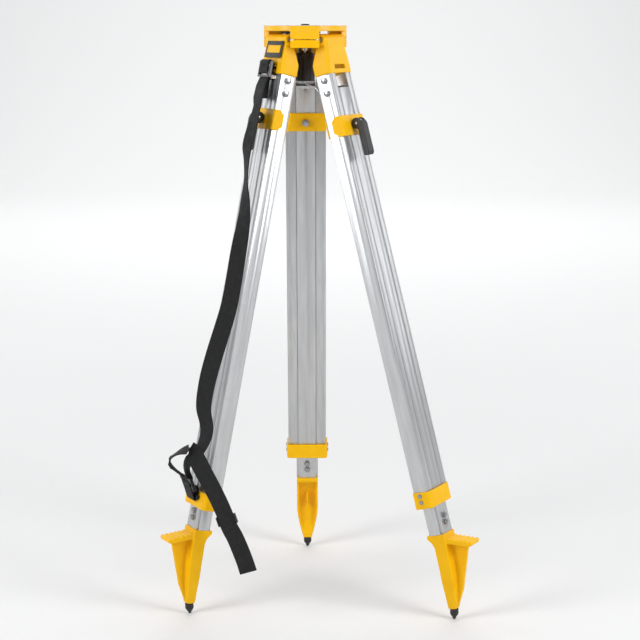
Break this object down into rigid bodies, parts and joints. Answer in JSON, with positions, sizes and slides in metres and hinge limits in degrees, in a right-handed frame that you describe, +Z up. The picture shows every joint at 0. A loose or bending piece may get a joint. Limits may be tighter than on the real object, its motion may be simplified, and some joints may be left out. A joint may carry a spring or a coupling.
{
  "type": "surveyor tripod",
  "caption": "Heavy-duty surveyor tripod: flat head with captive 5/8 inch fastening screw, three clamped telescopic aluminium legs, stepped feet and a carrying strap.",
  "frame": {"origin": "centre of the head's top face, on the fastening screw's axis", "axes": "+Z up along the screw, +Y towards the rear leg, +X towards the right leg"},
  "size_m": [0.5523, 0.4946, 1.0202],
  "materials": {
    "yellow_paint": "satin",
    "aluminium": "satin",
    "steel": "satin",
    "black_steel": "matte",
    "black_point": "matte",
    "black_plastic": "matte",
    "webbing": "matte"
  },
  "bodies": {
    "head": {"head_plate": "yellow_paint", "hinge_cap_front": "yellow_paint", "hinge_cap_left": "yellow_paint", "hinge_cap_right": "yellow_paint", "head_fasteners": "steel"},
    "centring_arm": {"screw_arm": "black_steel"},
    "carrier": {"screw_carrier": "black_steel"},
    "lift": {"lift_yoke": "black_steel"},
    "screw": {"fastening_screw": "steel", "screw_knob": "black_plastic", "plumb_hook": "steel"},
    "upper_rear": {"bracket_rear": "yellow_paint", "hinge_pin_rear": "steel", "rails_rear": "aluminium", "rail_bolts_rear": "steel", "collar_rear": "yellow_paint"},
    "lower_rear": {"inner_leg_rear": "aluminium", "end_plug_rear": "black_plastic", "clamp_outer_rear": "yellow_paint", "clamp_inner_rear": "yellow_paint", "clamp_bolt_rear": "steel", "lever_pin_rear": "steel", "foot_rear": "yellow_paint", "foot_bolts_rear": "steel", "foot_tip_rear": "black_point"},
    "lever_rear": {"lever_rear": "black_plastic"},
    "upper_left": {"bracket_left": "yellow_paint", "hinge_pin_left": "steel", "rails_left": "aluminium", "rail_bolts_left": "steel", "collar_left": "yellow_paint", "strap_run": "webbing", "strap_tail": "webbing", "strap_loops": "webbing", "strap_hardware": "black_plastic"},
    "lower_left": {"inner_leg_left": "aluminium", "end_plug_left": "black_plastic", "clamp_outer_left": "yellow_paint", "clamp_inner_left": "yellow_paint", "clamp_bolt_left": "steel", "lever_pin_left": "steel", "foot_left": "yellow_paint", "foot_bolts_left": "steel", "foot_tip_left": "black_point"},
    "lever_left": {"lever_left": "black_plastic"},
    "upper_right": {"bracket_right": "yellow_paint", "hinge_pin_right": "steel", "rails_right": "aluminium", "rail_bolts_right": "steel", "collar_right": "yellow_paint"},
    "lower_right": {"inner_leg_right": "aluminium", "end_plug_right": "black_plastic", "clamp_outer_right": "yellow_paint", "clamp_inner_right": "yellow_paint", "clamp_bolt_right": "steel", "lever_pin_right": "steel", "foot_right": "yellow_paint", "foot_bolts_right": "steel", "foot_tip_right": "black_point"},
    "lever_right": {"lever_right": "black_plastic"}
  },
  "joints": [
    {"name": "fold_rear", "type": "hinge", "parent": "head", "child": "upper_rear", "pos_m": [0, 0.05, -0.024], "axis": [1, 0, 0], "range_deg": [-13.8, 20]},
    {"name": "extend_rear", "type": "slide", "parent": "upper_rear", "child": "lower_rear", "axis": [0, 0.2385, -0.9711], "range_m": [-0.00691, 0.53809]},
    {"name": "clamp_rear", "type": "hinge", "parent": "lower_rear", "child": "lever_rear", "pos_m": [0, 0.10064, -0.15975], "axis": [1, 0, 0], "range_deg": [0, 105]},
    {"name": "fold_left", "type": "hinge", "parent": "head", "child": "upper_left", "pos_m": [-0.0433, -0.025, -0.024], "axis": [-0.5, 0.866, 0], "range_deg": [-11.9, 20]},
    {"name": "extend_left", "type": "slide", "parent": "upper_left", "child": "lower_left", "axis": [-0.1786, -0.1031, -0.9785], "range_m": [0, 0.545]},
    {"name": "clamp_left", "type": "hinge", "parent": "lower_left", "child": "lever_left", "pos_m": [-0.082, -0.04734, -0.15459], "axis": [-0.5, 0.866, 0], "range_deg": [0, 105]},
    {"name": "fold_right", "type": "hinge", "parent": "head", "child": "upper_right", "pos_m": [0.0433, -0.025, -0.024], "axis": [-0.5, -0.866, 0], "range_deg": [-15.3, 20]},
    {"name": "extend_right", "type": "slide", "parent": "upper_right", "child": "lower_right", "axis": [0.2285, -0.1319, -0.9646], "range_m": [-0.01325, 0.53175]},
    {"name": "clamp_right", "type": "hinge", "parent": "lower_right", "child": "lever_right", "pos_m": [0.09167, -0.05292, -0.16449], "axis": [-0.5, -0.866, 0], "range_deg": [0, 105]},
    {"name": "arm_swing", "type": "hinge", "parent": "head", "child": "centring_arm", "pos_m": [-0.03291, 0.019, -0.0119], "axis": [0, 0, 1], "range_deg": [-12, 12]},
    {"name": "carrier_slide", "type": "slide", "parent": "centring_arm", "child": "carrier", "axis": [-0.866, 0.5, 0], "range_m": [-0.01, 0.01]},
    {"name": "screw_lift", "type": "slide", "parent": "carrier", "child": "lift", "axis": [0, 0, 1], "range_m": [0, 0.01]},
    {"name": "screw_turn", "type": "hinge", "parent": "lift", "child": "screw", "pos_m": [0, 0, -0.05], "axis": [0, 0, 1], "continuous": true}
  ]
}
